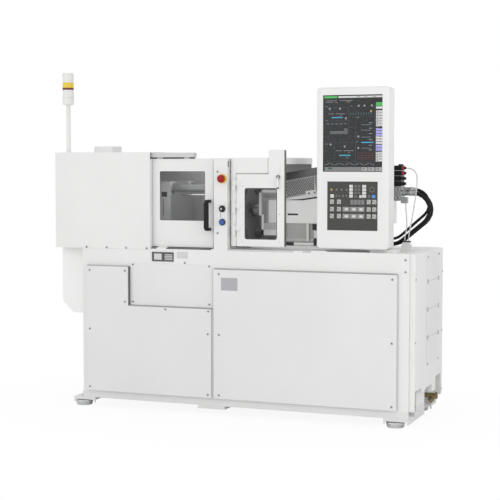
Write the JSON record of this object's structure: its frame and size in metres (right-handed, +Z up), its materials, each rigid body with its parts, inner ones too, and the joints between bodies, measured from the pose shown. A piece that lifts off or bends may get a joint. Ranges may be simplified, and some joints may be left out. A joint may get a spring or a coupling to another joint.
{
  "type": "injection molding machine",
  "caption": "Compact horizontal injection molding machine with sliding safety gate, hinged nozzle guard, control panel, signal tower and injection unit on a cabinet base.",
  "frame": {"origin": "centre of the box round the machine, on the floor under the feet", "axes": "+X along the machine from the clamp to the injection unit, +Y from the operator's side to the back, +Z up"},
  "size_m": [1.9589, 0.611, 1.756],
  "materials": {
    "white_paint": "semi-gloss powder coat",
    "panel_paint": "fine textured powder coat",
    "bracket_paint": "semi-gloss powder coat",
    "outlet_gray": "matte",
    "strainer_brass": "cast, dull",
    "foot_steel": "plated",
    "tower_white": "satin",
    "amber_lens": "translucent",
    "rail_gray": "satin",
    "smoked_window": "clear smoked sheet",
    "black_plastic": "fine grain",
    "cast_gray": "machined and painted",
    "ground_steel": "ground",
    "stop_yellow": "gloss",
    "stop_red": "gloss",
    "button_blue": "gloss",
    "frame_gray": "satin",
    "hinge_white": "semi-gloss paint",
    "carriage_gray": "satin",
    "guard_steel": "perforated sheet",
    "fitting_steel": "turned",
    "hose_rubber": "smooth",
    "tube_clear": "translucent",
    "screen_glass": "screen",
    "keypad_gray": "membrane"
  },
  "bodies": {
    "machine": {"bottom_rail": "bracket_paint", "base_cabinet": "white_paint", "left_front_door": "panel_paint", "right_front_door": "panel_paint", "screwed_panels": "panel_paint", "outlet_plate": "outlet_gray", "right_end_cover": "white_paint", "water_strainer": "strainer_brass", "foot_brackets": "bracket_paint", "levelling_feet": "foot_steel", "lower_end_cover": "white_paint", "clamp_front_cover": "white_paint", "clamp_end_cover": "white_paint", "clamp_roof": "white_paint", "rear_guard": "white_paint", "signal_tower": "tower_white", "signal_lens": "amber_lens", "gate_rails": "rail_gray", "clamp_cylinder": "cast_gray", "tie_bars": "ground_steel", "fixed_platen": "cast_gray", "operator_post": "white_paint", "stop_collar": "stop_yellow", "button_bezels": "black_plastic", "purge_frame": "frame_gray", "purge_plate": "white_paint", "purge_hinges": "hinge_white", "injection_bed": "cast_gray", "injection_saddle": "cast_gray", "injection_carriage": "carriage_gray", "injection_barrel": "ground_steel", "nozzle_guard": "carriage_gray", "plasticizing_tray": "white_paint", "plasticizing_guard": "guard_steel", "plasticizing_drive": "frame_gray", "hose_manifold": "fitting_steel", "valve_block": "black_plastic", "deck_connectors": "fitting_steel", "hose_front": "hose_rubber", "hose_rear": "hose_rubber", "hose_small": "hose_rubber", "tube_valve": "tube_clear", "tube_manifold": "tube_clear", "panel_stand": "white_paint", "control_panel": "white_paint", "panel_screen": "screen_glass", "panel_keypad": "keypad_gray"},
    "gate": {"safety_gate": "white_paint", "gate_window": "smoked_window", "gate_handle": "black_plastic"},
    "platen": {"moving_platen": "cast_gray", "clamp_ram": "ground_steel"},
    "nozzle_door": {"purge_door": "white_paint", "purge_window": "smoked_window", "purge_latch": "fitting_steel"},
    "stop": {"stop_button": "stop_red"},
    "selector": {"selector_knob": "black_plastic"},
    "push": {"push_button": "button_blue"}
  },
  "joints": [
    {"name": "gate_slide", "type": "slide", "parent": "machine", "child": "gate", "axis": [-1, 0, 0], "range_m": [0, 0.3]},
    {"name": "platen_slide", "type": "slide", "parent": "machine", "child": "platen", "axis": [1, 0, 0], "range_m": [0, 0.18]},
    {"name": "nozzle_door_swing", "type": "hinge", "parent": "machine", "child": "nozzle_door", "pos_m": [0.036, -0.2675, 1.04], "axis": [0, 0, -1], "range_deg": [0, 100]},
    {"name": "stop_press", "type": "slide", "parent": "machine", "child": "stop", "axis": [0, 1, 0], "range_m": [0, 0.005]},
    {"name": "selector_turn", "type": "hinge", "parent": "machine", "child": "selector", "pos_m": [-0.022, -0.2825, 1.052], "axis": [0, 1, 0], "range_deg": [0, 90]},
    {"name": "push_press", "type": "slide", "parent": "machine", "child": "push", "axis": [0, 1, 0], "range_m": [0, 0.004], "stiffness_N_per_m": 900}
  ]
}
